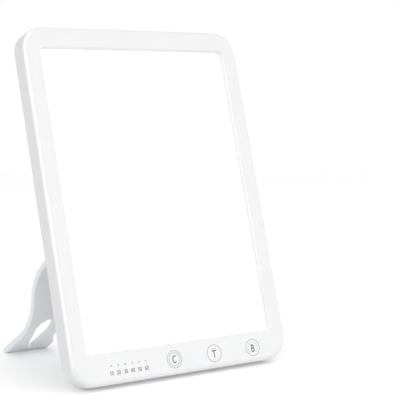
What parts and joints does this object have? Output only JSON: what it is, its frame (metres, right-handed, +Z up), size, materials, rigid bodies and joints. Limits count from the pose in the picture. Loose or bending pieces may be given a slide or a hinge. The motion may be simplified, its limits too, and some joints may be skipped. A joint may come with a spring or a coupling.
{
  "type": "light therapy lamp",
  "caption": "Slim white light panel with touch keys on its bezel, leaning back on a folding wishbone stand that swivels behind it.",
  "frame": {"origin": "centre of the bounding box, on the surface that the lamp stands on", "axes": "+Z up, +X to the right of someone who faces the light, +Y from the light towards the stand"},
  "size_m": [0.2224, 0.1844, 0.2967],
  "materials": {
    "white_casing": "satin white ABS moulding",
    "white_stand": "satin white ABS moulding",
    "opal_diffuser": "lit opal acrylic sheet",
    "clear_guide": "clear acrylic",
    "white_film": "white reflective film",
    "board_green": "solder mask",
    "strip_white": "white coated aluminium board",
    "led_phosphor": "phosphor",
    "foam_grey": "soft foam",
    "chip_black": "moulded epoxy",
    "can_metal": "bright can",
    "plug_white": "nylon",
    "lead_red": "insulation",
    "light_pipe": "clear acrylic",
    "inlet_black": "moulded",
    "brass": "plated",
    "steel": "zinc plated",
    "nylon": "natural nylon"
  },
  "bodies": {
    "panel": {"front_frame": "white_casing", "rear_cover": "white_casing", "case_screws": "steel", "diffuser_plate": "opal_diffuser", "light_guide_plate": "clear_guide", "reflector_sheet": "white_film", "led_strip_left": "strip_white", "led_strip_right": "strip_white", "led_chips_left": "led_phosphor", "led_chips_right": "led_phosphor", "foam_blocks": "foam_grey", "touch_board": "board_green", "touch_key_foams": "foam_grey", "touch_chip": "chip_black", "indicator_light_pipes": "light_pipe", "indicator_leds": "led_phosphor", "board_screws": "steel", "touch_ribbon": "plug_white", "driver_board": "board_green", "driver_inductor": "chip_black", "driver_capacitors": "can_metal", "driver_chip": "chip_black", "driver_connectors": "plug_white", "led_lead_left": "lead_red", "led_lead_right": "lead_red", "dc_jack": "inlet_black", "dc_jack_pin": "brass"},
    "swivel": {"swivel_hub": "white_stand", "swivel_retainer": "steel", "swivel_washer": "nylon", "retainer_screws": "steel", "hinge_pin": "steel", "hinge_washers": "nylon"},
    "leg": {"stand_leg": "white_stand"}
  },
  "joints": [
    {"name": "stand_swivel", "type": "hinge", "parent": "panel", "child": "swivel", "pos_m": [0, -0.03088, 0.14555], "axis": [0, 0.9591, -0.2832], "range_deg": [0, 90]},
    {"name": "stand_fold", "type": "hinge", "parent": "swivel", "child": "leg", "pos_m": [0, -0.02369, 0.14343], "axis": [-1, 0, 0], "range_deg": [0, 48]}
  ]
}
